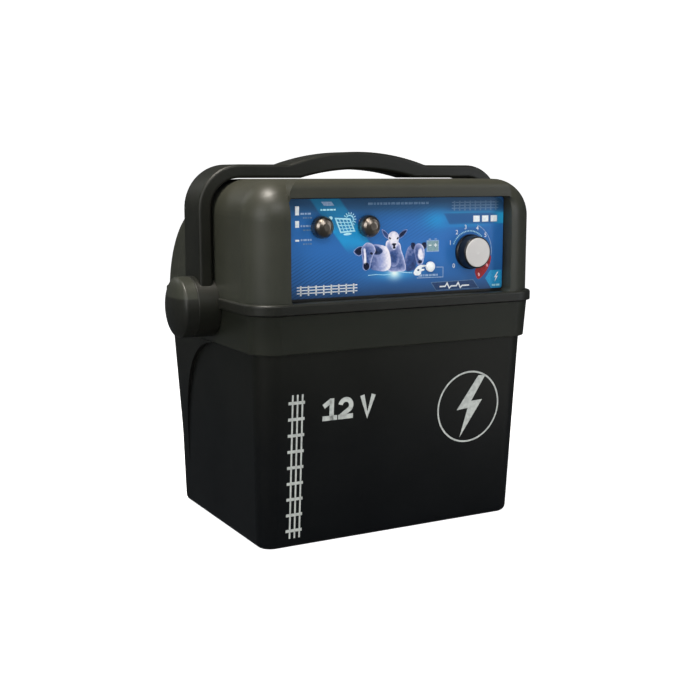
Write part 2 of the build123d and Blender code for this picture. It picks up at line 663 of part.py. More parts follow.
save("lid_shell", lid_shell())
save("lid_base", lid_base())
save("lid_base_screws", screws([(x, y, 214.6) for x, y in BOSS_PLACES], 1.5, 3.6, 2.4, 14, "down"))
save("battery_socket", battery_socket())
save("front_panel", front_panel())
save("panel_label", panel_label())
save("panel_screws", screws([(x, -96, z) for x, z in PANEL_SCREWS], 1.3, 2.8, 1.8, 4.6, "back"))
save("circuit_board", circuit_board())
save("board_screws", screws([(x, BOARD_FRONT + 1.6, z) for x, z in BOARD_SCREWS], 1.2, 2.6, 1.8, 8, "back"))
save("board_chips", board_chips())
save("transformer_core", transformer_core())
save("transformer_coil", transformer_coil())
save("storage_capacitors", storage_capacitors())
save("heat_sink", heat_sink())
save("power_transistors", power_transistors())
save("control_body", control_body())
save("control_nut", control_nut())
save("test_switch", test_switch())
save("status_led", status_led())
save("control_shaft", control_shaft())
save("dial_knob", dial_knob())
save("dial_face", dial_face())
save("button_cap", button_cap())
for name, x in zip(("solar_negative", "solar_positive"), SOLAR_X):
    save(f"{name}_stud", solar_stud(x))
    save(f"{name}_washer", solar_washer(x))
    save(f"{name}_nut", solar_nut(x))
for name, x, coil_end in zip(("fence", "earth"), OUTPUT_X, ((-80, 250), (-62, 232))):
    save(f"{name}_stud", output_stud(x))
    save(f"{name}_wire", output_wire(x, *coil_end))
    save(f"{name}_washer", output_washer(x))
    save(f"{name}_knob", output_knob(x))

save("handle_bail", handle_bail())
save("handle_bushes", handle_bushes())
cap = pivot_cap()
save("pivot_cap_right", cap)
save("pivot_cap_left", mirrored(cap))
save("pivot_studs", pivot_studs())
save("pivot_washers", pivot_washers())
save("pivot_screws", pivot_screws())
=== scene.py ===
import math
import bpy
import numpy as np
from mathutils import Euler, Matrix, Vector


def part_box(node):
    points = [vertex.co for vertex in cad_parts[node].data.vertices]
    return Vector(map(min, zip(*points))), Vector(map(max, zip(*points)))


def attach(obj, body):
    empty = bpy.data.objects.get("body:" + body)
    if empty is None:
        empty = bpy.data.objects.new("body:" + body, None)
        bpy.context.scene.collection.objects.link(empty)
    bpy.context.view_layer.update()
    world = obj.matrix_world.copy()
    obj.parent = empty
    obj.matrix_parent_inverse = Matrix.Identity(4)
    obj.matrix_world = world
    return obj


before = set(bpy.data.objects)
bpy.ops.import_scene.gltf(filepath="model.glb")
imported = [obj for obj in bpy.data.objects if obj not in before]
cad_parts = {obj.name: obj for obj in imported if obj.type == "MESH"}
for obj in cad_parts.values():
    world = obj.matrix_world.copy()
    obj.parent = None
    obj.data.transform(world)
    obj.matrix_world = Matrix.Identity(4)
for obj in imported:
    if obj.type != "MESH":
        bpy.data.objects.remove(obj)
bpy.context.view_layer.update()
mm = 0.001


def linear(hexColour):
    # sRGB to linear: c / 12.92 below 0.04045, else ((c + 0.055) / 1.055) ** 2.4
    channels = [int(hexColour[i:i + 2], 16) / 255 for i in (1, 3, 5)]
    return [c / 12.92 if c <= 0.04045 else ((c + 0.055) / 1.055) ** 2.4 for c in channels] + [1.0]


def add(tree, kind, inputs=None, stops=None, **settings):
    # one node with its settings; an input is a plain value or another node's output socket
    item = tree.nodes.new(kind)
    for name, value in settings.items():
        setattr(item, name, value)
    for key, value in (inputs or {}).items():
        if isinstance(value, bpy.types.NodeSocket):
            tree.links.new(value, item.inputs[key])
        else:
            item.inputs[key].default_value = value
    if stops:
        ramp = item.color_ramp
        while len(ramp.elements) < len(stops):
            ramp.elements.new(0.5)
        for element, (place, colour) in zip(ramp.elements, stops):
            element.position = place
            element.color = linear(colour)
    return item


def newMaterial(name, roughness, metallic=0.0, ior=1.5, **sockets):
    # a Principled shader with the finish that is the same all over the surface
    material = bpy.data.materials.new(name)
    material.use_nodes = True
    tree = material.node_tree
    shader = tree.nodes["Principled BSDF"]
    shader.inputs["Roughness"].default_value = roughness
    shader.inputs["Metallic"].default_value = metallic
    if not metallic:
        shader.inputs["IOR"].default_value = ior
    for key, value in sockets.items():
        shader.inputs[key.replace("_", " ")].default_value = value
    return material, tree, shader


def smoothClosed(points, perSpan=8):
    # closed curve through the points: uniform Catmull-Rom spans, all spans worked out at once
    p = np.asarray(points, float)
    before, after, beyond = np.roll(p, 1, 0), np.roll(p, -1, 0), np.roll(p, -2, 0)
    t = (np.arange(perSpan) / perSpan)[None, :, None]
    p0, p1, p2, p3 = (a[:, None, :] for a in (before, p, after, beyond))
    curve = 0.5 * (2 * p1 + (p2 - p0) * t + (2 * p0 - 5 * p1 + 4 * p2 - p3) * t ** 2
                   + (3 * p1 - p0 - 3 * p2 + p3) * t ** 3)
    return curve.reshape(-1, p.shape[1])


def addMesh(name, points, faces, material, body):
    # one piece that rides on a body of the frame, in the material slot it stands for
    mesh = bpy.data.meshes.new(name)
    mesh.from_pydata(np.asarray(points, float).tolist(), [], [list(map(int, f)) for f in faces])
    mesh.validate()
    piece = bpy.data.objects.new(name, mesh)
    bpy.context.scene.collection.objects.link(piece)
    mesh.materials.append(material)
    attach(piece, body)
    return piece


def gridFaces(rows, columns, closed=False):
    # quads between neighbouring rows and columns of a grid of points stored row by row;
    # closed joins the last column to the first
    r0, c0 = np.meshgrid(np.arange(rows - 1), np.arange(columns if closed else columns - 1), indexing="ij")
    r1, c1 = r0 + 1, (c0 + 1) % columns
    corners = [r0 * columns + c0, r0 * columns + c1, r1 * columns + c1, r1 * columns + c0]
    return np.stack(corners, -1).reshape(-1, 4)


view = {"place": (-514.4, -955.1, 323.2), "azimuth": 28.58, "down": 8.83, "lens": 58.25}

camera = bpy.data.objects.new("viewCamera", bpy.data.cameras.new("viewCamera"))
camera.data.lens = view["lens"]
camera.data.sensor_width = 36
camera.location = [v * mm for v in view["place"]]
camera.rotation_euler = Euler((math.radians(90 - view["down"]), 0, math.radians(-view["azimuth"])))
bpy.context.scene.collection.objects.link(camera)
bpy.context.scene.camera = camera
bpy.context.scene.view_settings.view_transform = "Standard"

studio = {
    # name: (place in metres, aimed at, width, height, watts, colour)
    "softboxTop": ((-0.36, -0.16, 1.22), (-0.05, 0.0, 0.25), 0.24, 0.24, 15.0, "#fff8ee"),
    "softboxLeft": ((-1.5, -0.7, 0.75), (0.0, 0.0, 0.20), 0.9, 0.9, 10.0, "#ffffff"),
    "softboxRight": ((1.15, -1.15, 0.55), (0.05, -0.05, 0.12), 0.30, 1.1, 6.0, "#f6f9ff"),
    "softboxFront": ((-0.5, -2.2, 1.9), (0.0, 0.0, 0.18), 1.8, 0.8, 23.0, "#ffffff"),
    "softboxBack": ((-1.1, 1.7, 1.5), (0.0, 0.0, 0.20), 0.6, 1.0, 4.0, "#ffffff"),
    "floorKicker": ((0.33, -0.37, 0.03), (0.11, -0.10, 0.12), 0.20, 0.10, 0.06, "#f4f2e8"),
}


def softbox(name, place, target, width, height, watts, colour):
    # rectangular area light turned so that its face looks at the target
    data = bpy.data.lights.new(name, "AREA")
    data.shape = "RECTANGLE"
    data.size, data.size_y, data.energy = width, height, watts
    data.color = linear(colour)[:3]
    lamp = bpy.data.objects.new(name, data)
    dx, dy, dz = np.subtract(target, place)
    lamp.location = place
    lamp.rotation_euler = Euler((math.atan2(math.hypot(dx, dy), -dz), 0, math.atan2(dy, dx) - math.pi / 2))
    lamp.visible_camera = False
    bpy.context.scene.collection.objects.link(lamp)


for name, values in studio.items():
    softbox(name, *values)


def paperSweep():
    # floor that curves up behind: straight run, quarter turn, wall; z = R(1 - cos a), d = R sin a
    turn = np.linspace(0, math.pi / 2, 24)
    radius, reach, width = 1.2, 4.0, 14.0
    along = np.concatenate([[-8.0], reach + radius * np.sin(turn), [reach + radius]])
    height = np.concatenate([[0.0], radius * (1 - np.cos(turn)), [7.0]])
    heading = math.radians(view["azimuth"])
    forward = np.array([math.sin(heading), math.cos(heading)])
    side = np.array([forward[1], -forward[0]])
    across = np.linspace(-width / 2, width / 2, 3)
    flat = along[:, None, None] * forward + across[None, :, None] * side
    points = np.dstack([flat, np.repeat(height[:, None], 3, 1)]).reshape(-1, 3)
    mesh = bpy.data.meshes.new("paperSweep")
    mesh.from_pydata(points.tolist(), [], gridFaces(len(along), 3)[:, ::-1].tolist())
    mesh.polygons.foreach_set("use_smooth", [True] * len(mesh.polygons))
    sweep = bpy.data.objects.new("paperSweep", mesh)
    bpy.context.scene.collection.objects.link(sweep)
    material, tree, shader = newMaterial("mattPaper", 0.9)
    shader.inputs["Base Color"].default_value = linear("#f7f7f6")
    shader.inputs["Emission Color"].default_value = (1, 1, 1, 1)
    sight = add(tree, "ShaderNodeLightPath")
    glow = add(tree, "ShaderNodeMath", {0: sight.outputs["Is Camera Ray"], 1: 0.95}, operation="MULTIPLY")
    tree.links.new(glow.outputs[0], shader.inputs["Emission Strength"])
    mesh.materials.append(material)
    sweep.visible_glossy = False


paperSweep()

world = bpy.data.worlds.new("studioWorld")
bpy.context.scene.world = world
world.use_nodes = True
worldTree = world.node_tree
worldTree.nodes.clear()
rays = add(worldTree, "ShaderNodeLightPath")
dim = add(worldTree, "ShaderNodeBackground", {"Color": linear("#aab0b4"), "Strength": 0.2})
plain = add(worldTree, "ShaderNodeBackground", {"Color": (1, 1, 1, 1), "Strength": 1.0})
choice = add(worldTree, "ShaderNodeMixShader", {0: rays.outputs["Is Camera Ray"], 1: dim.outputs[0],
                                                2: plain.outputs[0]})
add(worldTree, "ShaderNodeOutputWorld", {"Surface": choice.outputs[0]})
print("studio ready")


def mouldedPlastic(name, dark, light, roughness, grain, depth, roughSpread=0.03, cloud=0.05,
                   shadeByHeight=None, **sockets):
    # injection-moulded plastic: an eroded tool's fine grain breaks up the gloss, and slow
    # clouds of tone show where it was handled. grain, depth and cloud in metres. The height
    # table, when given, sets the tone by height instead as painted light and shade: (z in mm, colour) pairs,
    # clouded by 7 per cent
    material, tree, shader = newMaterial(name, roughness, **sockets)
    place = add(tree, "ShaderNodeTexCoord").outputs["Object"]
    clouds = add(tree, "ShaderNodeTexNoise", {"Vector": place, "Scale": 1 / cloud, "Detail": 3.0})
    if shadeByHeight:
        # painted light and shade: the tone is set by height, darker where shade falls and lighter where the
        # lamps catch
        low, high = shadeByHeight[0][0], shadeByHeight[-1][0]
        height = add(tree, "ShaderNodeSeparateXYZ", {0: place}).outputs["Z"]
        rise = add(tree, "ShaderNodeMapRange", {"Value": height, "From Min": low * mm,
                                                "From Max": high * mm})
        heightShadeTone = add(tree, "ShaderNodeValToRGB", {"Fac": rise.outputs[0]},
                   stops=[((z - low) / (high - low), shade) for z, shade in shadeByHeight])
        spread = add(tree, "ShaderNodeMapRange", {"Value": clouds.outputs["Fac"], "From Min": 0.32,
                                                  "From Max": 0.68, "To Min": 0.93, "To Max": 1.07})
        colour = add(tree, "ShaderNodeVectorMath", {0: heightShadeTone.outputs[0], 1: spread.outputs[0]},
                     operation="MULTIPLY").outputs[0]
    else:
        tone = add(tree, "ShaderNodeMapRange", {"Value": clouds.outputs["Fac"], "From Min": 0.32,
                                                "From Max": 0.68})
        colour = add(tree, "ShaderNodeMix", {0: tone.outputs[0], 6: linear(dark), 7: linear(light)},
                     data_type="RGBA").outputs[2]
    pits = add(tree, "ShaderNodeTexNoise", {"Vector": place, "Scale": 1 / grain, "Detail": 2.0})
    bump = add(tree, "ShaderNodeBump", {"Height": pits.outputs["Fac"], "Distance": depth,
                                        "Strength": 1.0})
    rough = add(tree, "ShaderNodeMapRange", {"Value": clouds.outputs["Fac"], "From Min": 0.3,
                                             "From Max": 0.7, "To Min": roughness - roughSpread,
                                             "To Max": roughness + roughSpread})
    tree.links.new(colour, shader.inputs["Base Color"])
    tree.links.new(rough.outputs[0], shader.inputs["Roughness"])
    tree.links.new(bump.outputs[0], shader.inputs["Normal"])
    return material


def turnedMetal(name, dark, light, roughness, stretch, grain, depth):
    # plated or turned metal: tool marks stretched along one axis streak the reflection
    material, tree, shader = newMaterial(name, roughness, metallic=1.0)
    place = add(tree, "ShaderNodeTexCoord").outputs["Object"]
    drawn = add(tree, "ShaderNodeMapping", {"Vector": place, "Scale": stretch})
    marks = add(tree, "ShaderNodeTexNoise", {"Vector": drawn.outputs[0], "Scale": 1 / grain,
                                             "Detail": 3.0})
    colour = add(tree, "ShaderNodeValToRGB", {"Fac": marks.outputs["Fac"]},
                 stops=[(0.3, dark), (0.7, light)])
    rough = add(tree, "ShaderNodeMapRange", {"Value": marks.outputs["Fac"], "To Min": roughness - 0.08,
                                             "To Max": roughness + 0.1})
    bump = add(tree, "ShaderNodeBump", {"Height": marks.outputs["Fac"], "Distance": depth})
    tree.links.new(colour.outputs[0], shader.inputs["Base Color"])
    tree.links.new(rough.outputs[0], shader.inputs["Roughness"])
    tree.links.new(bump.outputs[0], shader.inputs["Normal"])
    return material


def waveScale(wavelength):
    # a wave texture repeats every 2 pi / 20 at scale 1; wavelength in metres
    return 2 * math.pi / 20 / wavelength


def laminatedSteel():
    # transformer stampings: 0.5 mm sheets stacked along Y show as fine dull stripes
    material, tree, shader = newMaterial("laminatedSteel", 0.5, metallic=1.0)
    place = add(tree, "ShaderNodeTexCoord").outputs["Object"]
    sheets = add(tree, "ShaderNodeTexWave", {"Vector": place, "Scale": waveScale(0.001),
                                             "Distortion": 0.3}, bands_direction="Y")
    colour = add(tree, "ShaderNodeValToRGB", {"Fac": sheets.outputs["Fac"]},
                 stops=[(0.2, "#4a4b4e"), (0.8, "#77787b")])
    bump = add(tree, "ShaderNodeBump", {"Height": sheets.outputs["Fac"], "Distance": 0.0001})
    tree.links.new(colour.outputs[0], shader.inputs["Base Color"])
    tree.links.new(bump.outputs[0], shader.inputs["Normal"])
    return material


def solderMask():
    # glass laminate under green lacquer: copper tracks show as paler blocks through it
    material, tree, shader = newMaterial("solderMask", 0.3)
    place = add(tree, "ShaderNodeTexCoord").outputs["Object"]
    upright = add(tree, "ShaderNodeMapping", {"Vector": place, "Rotation": (math.pi / 2, 0, 0)})
    tracks = add(tree, "ShaderNodeTexBrick", {
        "Vector": upright.outputs[0],
        "Scale": 60.0, "Mortar Size": 0.03, "Color1": linear("#0d5a2c"), "Color2": linear("#0a4723"),
        "Mortar": linear("#2b8a4a")})
    bump = add(tree, "ShaderNodeBump", {"Height": tracks.outputs["Fac"], "Distance": 0.00004})
    tree.links.new(tracks.outputs["Color"], shader.inputs["Base Color"])
    tree.links.new(bump.outputs[0], shader.inputs["Normal"])
    return material


finishes = {
    # polypropylene tub, near black, with a fine spark-eroded grain and a soft sheen; darker towards the
    # floor, and its band from 174.5 mm up is painted lighter as painted light
    "tub_plastic": mouldedPlastic("blackPolypropylene", "#0b0c0d", "#0f1011", 0.40, 0.0011, 0.00006,
                                  Specular_IOR_Level=0.27,
                                  shadeByHeight=[(0, "#05070a"), (90, "#0a0c0d"), (172, "#141511"),
                                         (174.5, "#20221c"), (208, "#1d1f19")]),
    # ABS lid, dark olive grey, satin, so the softboxes spread into broad pale patches; the skirt below 216 mm
    # is painted darker as painted shade, and the tone lightens towards the top as painted light
    "lid_plastic": mouldedPlastic("oliveGreyAbs", "#30312a", "#35362e", 0.42, 0.0010, 0.00004,
                                  Specular_IOR_Level=0.34,
                                  shadeByHeight=[(188, "#181915"), (215.6, "#1c1d19"), (217, "#30322b"),
                                         (300, "#32332b"), (319, "#3a3a31")]),
    # glass-filled nylon handle, darker and a little duller than the lid
    "handle_plastic": mouldedPlastic("blackNylon", "#12130d", "#181912", 0.46, 0.0013, 0.00007,
                                     Specular_IOR_Level=0.4),
    "inner_plastic": mouldedPlastic("mattBlackAbs", "#121312", "#191a19", 0.55, 0.0012, 0.00006),
    "seal_rubber": mouldedPlastic("foamRubber", "#101010", "#1b1b1b", 0.8, 0.0008, 0.0002),
    "battery_plastic": mouldedPlastic("batteryCasePolypropylene", "#141518", "#1c1d21", 0.5, 0.0014,
                                      0.00008),
    "battery_cover_plastic": mouldedPlastic("batteryLidPolypropylene", "#4a4b4e", "#58595c", 0.4, 0.0014,
                                            0.00006),
    "red_plastic": mouldedPlastic("redAbs", "#a81410", "#c21c15", 0.3, 0.0012, 0.00004),
    "green_plastic": mouldedPlastic("greenAbs", "#0f6d33", "#15803d", 0.3, 0.0012, 0.00004),
    "black_plastic": mouldedPlastic("blackAbs", "#0e0e0f", "#17181a", 0.3, 0.0012, 0.00004),
    "red_wire": mouldedPlastic("redPvc", "#9c1512", "#b51d18", 0.4, 0.0016, 0.00005),
    "black_wire": mouldedPlastic("blackPvc", "#0d0d0e", "#161617", 0.4, 0.0016, 0.00005),
    "chip_epoxy": mouldedPlastic("chipEpoxy", "#121213", "#1a1a1c", 0.6, 0.0006, 0.00005),
    "coil_tape": mouldedPlastic("polyesterTape", "#b88a1e", "#cfa02c", 0.3, 0.002, 0.0001),
    "can_sleeve": mouldedPlastic("shrinkSleeve", "#101a45", "#18255c", 0.25, 0.002, 0.00004),
    "led_lens": mouldedPlastic("greenLens", "#1a8a3c", "#28a84e", 0.15, 0.002, 0.00002),
    "dial_plastic": mouldedPlastic("ribbedBlackAbs", "#0c0c0c", "#151515", 0.38, 0.001, 0.00005),
    "dial_face_plastic": mouldedPlastic("greyAbs", "#bdbbba", "#c8c6c5", 0.42, 0.0012, 0.00003),
    "button_plastic": mouldedPlastic("whiteAbs", "#eef3f5", "#f7fafb", 0.3, 0.0012, 0.00002),
    "bush_plastic": mouldedPlastic("acetal", "#d8d4c4", "#e6e2d4", 0.4, 0.0012, 0.00003),
    "lead_metal": turnedMetal("castLead", "#6e7076", "#8c8e94", 0.5, (1, 1, 1), 0.003, 0.0001),
    "zinc_steel": turnedMetal("zincPlatedSteel", "#a3a49c", "#c6c6bd", 0.3, (1, 1, 6), 0.004, 0.00003),
    "aluminium": turnedMetal("extrudedAluminium", "#b4b6b9", "#cfd1d3", 0.35, (8, 8, 1), 0.01, 0.00004),
    "brass": turnedMetal("turnedBrass", "#a8843c", "#c9a456", 0.28, (1, 6, 1), 0.004, 0.00003),
    # dark nickel dome nuts: brownish grey with one small hot reflection of the softbox
    "nut_metal": turnedMetal("darkNickel", "#847b72", "#988f85", 0.30, (1, 1, 1), 0.004, 0.00003),
    "core_steel": laminatedSteel(),
    "board_laminate": solderMask(),
}


def printedFilm():
    # back-printed polycarbonate film: colours come from the painted field, a fine halftone and
    # slanting hairlines lie over them, and the clear face gives an even satin shine
    material, tree, shader = newMaterial("printedFilm", 0.36, Specular_IOR_Level=0.22)
    place = add(tree, "ShaderNodeTexCoord").outputs["Object"]
    ink = add(tree, "ShaderNodeAttribute", attribute_name="ink")
    lineMask = add(tree, "ShaderNodeAttribute", attribute_name="hairline")
    lean = add(tree, "ShaderNodeMapping", {"Vector": place, "Rotation": (0, math.radians(28), 0)})
    lines = add(tree, "ShaderNodeTexWave", {"Vector": lean.outputs[0], "Scale": waveScale(0.0026),
                                            "Distortion": 1.2, "Detail": 1.0}, bands_direction="Z")
    thin = add(tree, "ShaderNodeMapRange", {"Value": lines.outputs["Fac"], "From Min": 0.55,
                                            "From Max": 0.95})
    amount = add(tree, "ShaderNodeMath", {0: thin.outputs[0], 1: lineMask.outputs["Fac"]},
                 operation="MULTIPLY")
    lined = add(tree, "ShaderNodeMix", {0: amount.outputs[0], 6: ink.outputs["Color"],
                                        7: linear("#1d3f6b")}, data_type="RGBA")
    dots = add(tree, "ShaderNodeTexNoise", {"Vector": place, "Scale": 1 / 0.0012, "Detail": 2.0})
    grain = add(tree, "ShaderNodeMapRange", {"Value": dots.outputs["Fac"], "To Min": 0.93,
                                             "To Max": 1.07})
    toned = add(tree, "ShaderNodeVectorMath", {0: lined.outputs[2], 1: grain.outputs[0]},
                operation="MULTIPLY")
    rough = add(tree, "ShaderNodeMapRange", {"Value": dots.outputs["Fac"], "To Min": 0.32,
                                             "To Max": 0.42})
    tree.links.new(toned.outputs[0], shader.inputs["Base Color"])
    tree.links.new(rough.outputs[0], shader.inputs["Roughness"])
    return material


def screenInk(name, dark, light, grain=0.0016):
    # screen-printed ink: a touch uneven where the mesh laid it down, and a little duller than film
    material, tree, shader = newMaterial(name, 0.42, Specular_IOR_Level=0.3)
    place = add(tree, "ShaderNodeTexCoord").outputs["Object"]
    weave = add(tree, "ShaderNodeTexNoise", {"Vector": place, "Scale": 1 / grain, "Detail": 3.0})
    colour = add(tree, "ShaderNodeValToRGB", {"Fac": weave.outputs["Fac"]},
                 stops=[(0.35, dark), (0.6, light)])
    rough = add(tree, "ShaderNodeMapRange", {"Value": weave.outputs["Fac"], "To Min": 0.36,
                                             "To Max": 0.5})
    tree.links.new(colour.outputs[0], shader.inputs["Base Color"])
    tree.links.new(rough.outputs[0], shader.inputs["Roughness"])
    return material


def toneInk():
    # four-tone animal print, navy to white: the shade attribute picks the tone and a fine
    # noise ruffles it like wool and hair
    material, tree, shader = newMaterial("toneInk", 0.4, Specular_IOR_Level=0.25)
    place = add(tree, "ShaderNodeTexCoord").outputs["Object"]
    shade = add(tree, "ShaderNodeAttribute", attribute_name="shade")
    hair = add(tree, "ShaderNodeTexNoise", {"Vector": place, "Scale": 1 / 0.0022, "Detail": 4.0})
    ruffle = add(tree, "ShaderNodeMath", {0: hair.outputs["Fac"], 1: 0.42, 2: -0.21},
                 operation="MULTIPLY_ADD")
    tone = add(tree, "ShaderNodeMath", {0: shade.outputs["Fac"], 1: ruffle.outputs[0]}, operation="ADD")
    colour = add(tree, "ShaderNodeValToRGB", {"Fac": tone.outputs[0]},
                 stops=[(0.0, "#0a1230"), (0.3, "#34508c"), (0.62, "#98a3d2"), (0.95, "#f5f2fb")])
    tree.links.new(colour.outputs[0], shader.inputs["Base Color"])
    return material


finishes["label_print"] = mouldedPlastic("bluePrintedFilm", "#2c5f9c", "#3068a8", 0.36, 0.002, 0.00001)
inks = {
    "film": printedFilm(),
    "tones": toneInk(),
    "white": screenInk("whiteInk", "#dfe8ee", "#f4f8fa"),
    "pale": screenInk("paleBlueInk", "#7f9fc6", "#9ab4d4"),
    "dim": screenInk("dimBlueInk", "#4f7399", "#6486aa"),
    "cyan": screenInk("cyanInk", "#1f8fca", "#2aa0d8"),
    "ice": screenInk("iceBlueInk", "#8fdcf4", "#c2f0fb"),
    "plate": screenInk("deepBlueInk", "#24568c", "#2a5f98"),
    "night": screenInk("nightBlueInk", "#233f6b", "#2a4876"),
    "red": screenInk("redInk", "#941a20", "#a82026"),
    "pink": screenInk("pinkInk", "#e58c96", "#f3b4ba"),
    "sage": screenInk("sageInk", "#6f93a0", "#8aa9ae"),
    "silver": screenInk("silverInk", "#a3a8a6", "#b6bbb8", 0.003),
}

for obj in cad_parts.values():
    for holder in obj.material_slots:
        holder.material = finishes[holder.material.name]
print("finishes on", len(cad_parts), "CAD pieces")


labelLow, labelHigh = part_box("panel_label")
dialLow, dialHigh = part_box("dial_knob")
dialX, dialZ = (dialLow.x + dialHigh.x) / 2 / mm, (dialLow.z + dialHigh.z) / 2 / mm
film = {"face": labelLow.y / mm, "lift": 0.03, "step": 1.2, "corner": 2.5, "topRight": 9.0}


def smoothStep(value, low, high):
    # 0 below low, 1 above high, 3t^2 - 2t^3 between
    t = np.clip((value - low) / (high - low), 0, 1)
    return t * t * (3 - 2 * t)


def blend(base, hexColour, mask):
    # base + (colour - base) mask
    return base + (np.array(linear(hexColour)[:3]) - base) * mask[..., None]


paint = {
    # height in mm and colour, from the panel's foot to its top
    "ramp": {217: "#37557f", 224: "#2e5a90", 234: "#2a64a6", 246: "#2c6bb2", 262: "#2d6cb4",
             282: "#2d6db4", 289: "#2a629c", 294: "#27527c", 303: "#284f76"},
    # slanting cyan band: the distance across it is x + slant (z - middleZ)
    "band": {"slant": 0.78, "middleZ": 302.5, "from": (-89.0, -86.5), "to": (-61.0, -58.5),
             "fade": (254, 268), "top": (272, 290)},
    # plate at the top right: its left end leans by 0.6
    "plate": {"lean": 0.6, "corner": (45.8, 288.8), "bottom": (278.2, 279.4), "top": (288.4, 289.2),
              "cyanFrom": (96, 110), "lineZ": 289.4, "lineFrom": (40, 60)},
    "burst": {"x": -5.2, "z": 237.3, "flat": 1.25},
}


def spot(base, x, z, hexColour, amount, middleX, middleZ, rx, rz):
    # soft oval of colour: amount exp(-((x - mx) / rx)^2 - ((z - mz) / rz)^2)
    reach = ((x - middleX) / rx) ** 2 + ((z - middleZ) / rz) ** 2
    return blend(base, hexColour, amount * np.exp(-reach))


def paintedField(x, z):
    # colour of the film at (x, z) in mm: a vertical ramp, then soft shapes laid over it in turn
    columns = np.array([linear(c)[:3] for c in paint["ramp"].values()])
    base = np.stack([np.interp(z, list(paint["ramp"]), columns[:, k]) for k in range(3)], -1)
    base = spot(base, x, z, "#3777c4", 0.35, 42, 262, 40, 22)    # slow daylight
    shape = paint["band"]
    s = x + shape["slant"] * (z - shape["middleZ"])
    band = smoothStep(s, *shape["from"]) * (1 - smoothStep(s, *shape["to"])) * smoothStep(z, *shape["fade"])
    base = blend(base, "#1d78a8", 0.9 * band)
    base = blend(base, "#2296d4", band * (1 - smoothStep(z, *shape["top"])))
    base = spot(base, x, z, "#2590d0", 0.95, 38, 283, 13, 7.5)    # glow at the plate's slanting end
    shape = paint["plate"]
    edge = x - shape["corner"][0] + shape["lean"] * (z - shape["corner"][1])
    plate = smoothStep(edge, -0.8, 0.8) * smoothStep(z, *shape["bottom"])
    plate *= 1 - smoothStep(z, *shape["top"])
    base = blend(base, "#285c94", 0.9 * plate)
    base = blend(base, "#2aa3d8", plate * smoothStep(x, *shape["cyanFrom"]))
    line = np.exp(-((z - shape["lineZ"]) / 0.9) ** 2) * smoothStep(x, *shape["lineFrom"])
    base = blend(base, "#2d8cc0", 0.8 * line)
    base = spot(base, x, z, "#2590d0", 0.8, 72, 277.4, 22, 1.6)    # light under the plate
    base = spot(base, x, z, "#3f9fdc", 0.85, -5, 236.5, 20, 4.2)    # haze either side of the burst
    burst = paint["burst"]
    for hexColour, radius in (("#bdf0fb", 4.6), ("#f4ffff", 2.2)):
        base = spot(base, x, z, hexColour, 1.0, burst["x"], burst["z"], radius * burst["flat"], radius)
    return base


def labelFilm():
    # flat grid inside a rounded rectangle: each row is drawn in at the corners by
    # r - sqrt(r^2 - d^2), where d is how far the row reaches into the corner
    lowX, highX = labelLow.x / mm, labelHigh.x / mm
    lowZ, highZ = labelLow.z / mm, labelHigh.z / mm
    z = np.linspace(lowZ, highZ, int((highZ - lowZ) / film["step"]))
    t = np.linspace(0, 1, int((highX - lowX) / film["step"]))
    left = np.clip(film["corner"] - np.minimum(z - lowZ, highZ - z), 0, None)
    right = np.clip(film["topRight"] - (highZ - z), 0, None)
    right = np.maximum(right, np.clip(film["corner"] - (z - lowZ), 0, None))
    radius = np.where(highZ - z < film["topRight"], film["topRight"], film["corner"])
    startX = lowX + film["corner"] - np.sqrt(film["corner"] ** 2 - np.minimum(left, film["corner"]) ** 2)
    endX = highX - radius + np.sqrt(radius ** 2 - np.minimum(right, radius) ** 2)
    x = startX[:, None] + (endX - startX)[:, None] * t[None, :]
    zz = np.repeat(z[:, None], len(t), 1)
    points = np.stack([x, np.full_like(x, film["face"] - film["lift"]), zz], -1) * mm
    piece = addMesh("labelFilm", points.reshape(-1, 3), gridFaces(len(z), len(t))[:, ::-1], inks["film"],
                    "lid")
    colours = np.concatenate([paintedField(x, zz), np.ones(x.shape + (1,))], -1)
    ink = piece.data.color_attributes.new("ink", "FLOAT_COLOR", "POINT")
    ink.data.foreach_set("color", colours.ravel())
    hairlines = 0.6 * (1 - smoothStep(x, -75, -18)) * (1 - smoothStep(zz, 240, 262))
    hairlines += 0.22 * smoothStep(x, -30, -15) * (1 - smoothStep(x, 30, 45)) * smoothStep(zz, 262, 270)
    mask = piece.data.attributes.new("hairline", "FLOAT", "POINT")
    mask.data.foreach_set("value", hairlines.ravel())


labelFilm()


# front wall of the tub: its y at the floor and just under the band, and the band's height
tubFront = {"atFloor": -94.7, "atBand": -107.0, "band": 173.6}
layer = 0.035    # each ink lies this much prouder than the one below, in mm


def onFilm(points, level):
    # (x, z) in mm to a place on the film, level layers up
    p = np.asarray(points, float)
    return np.stack([p[:, 0], np.full(len(p), film["face"] - film["lift"] - layer * level), p[:, 1]], 1) * mm


def onTub(points, level):
    # (x, z) in mm to a place on the leaning front wall of the tub
    p = np.asarray(points, float)
    lean = (tubFront["atBand"] - tubFront["atFloor"]) / tubFront["band"]
    return np.stack([p[:, 0], tubFront["atFloor"] + lean * p[:, 1] - layer * (level + 1), p[:, 1]], 1) * mm


def facingFront(points):
    # turns an outline so that its normal points towards -Y: positive area seen from the front
    x, z = points[:, 0], points[:, 1]
    area = np.sum(x * np.roll(z, -1) - np.roll(x, -1) * z)
    return points if area > 0 else points[::-1]


def patch(name, outline, ink, level=1, lay=onFilm, rounded=True, body="lid"):
    # one flat face inside an outline, a smooth closed curve or straight-sided
    curve = facingFront(smoothClosed(outline) if rounded else np.asarray(outline, float))
    return addMesh(name, lay(curve, level), [range(len(curve))], inks[ink], body)


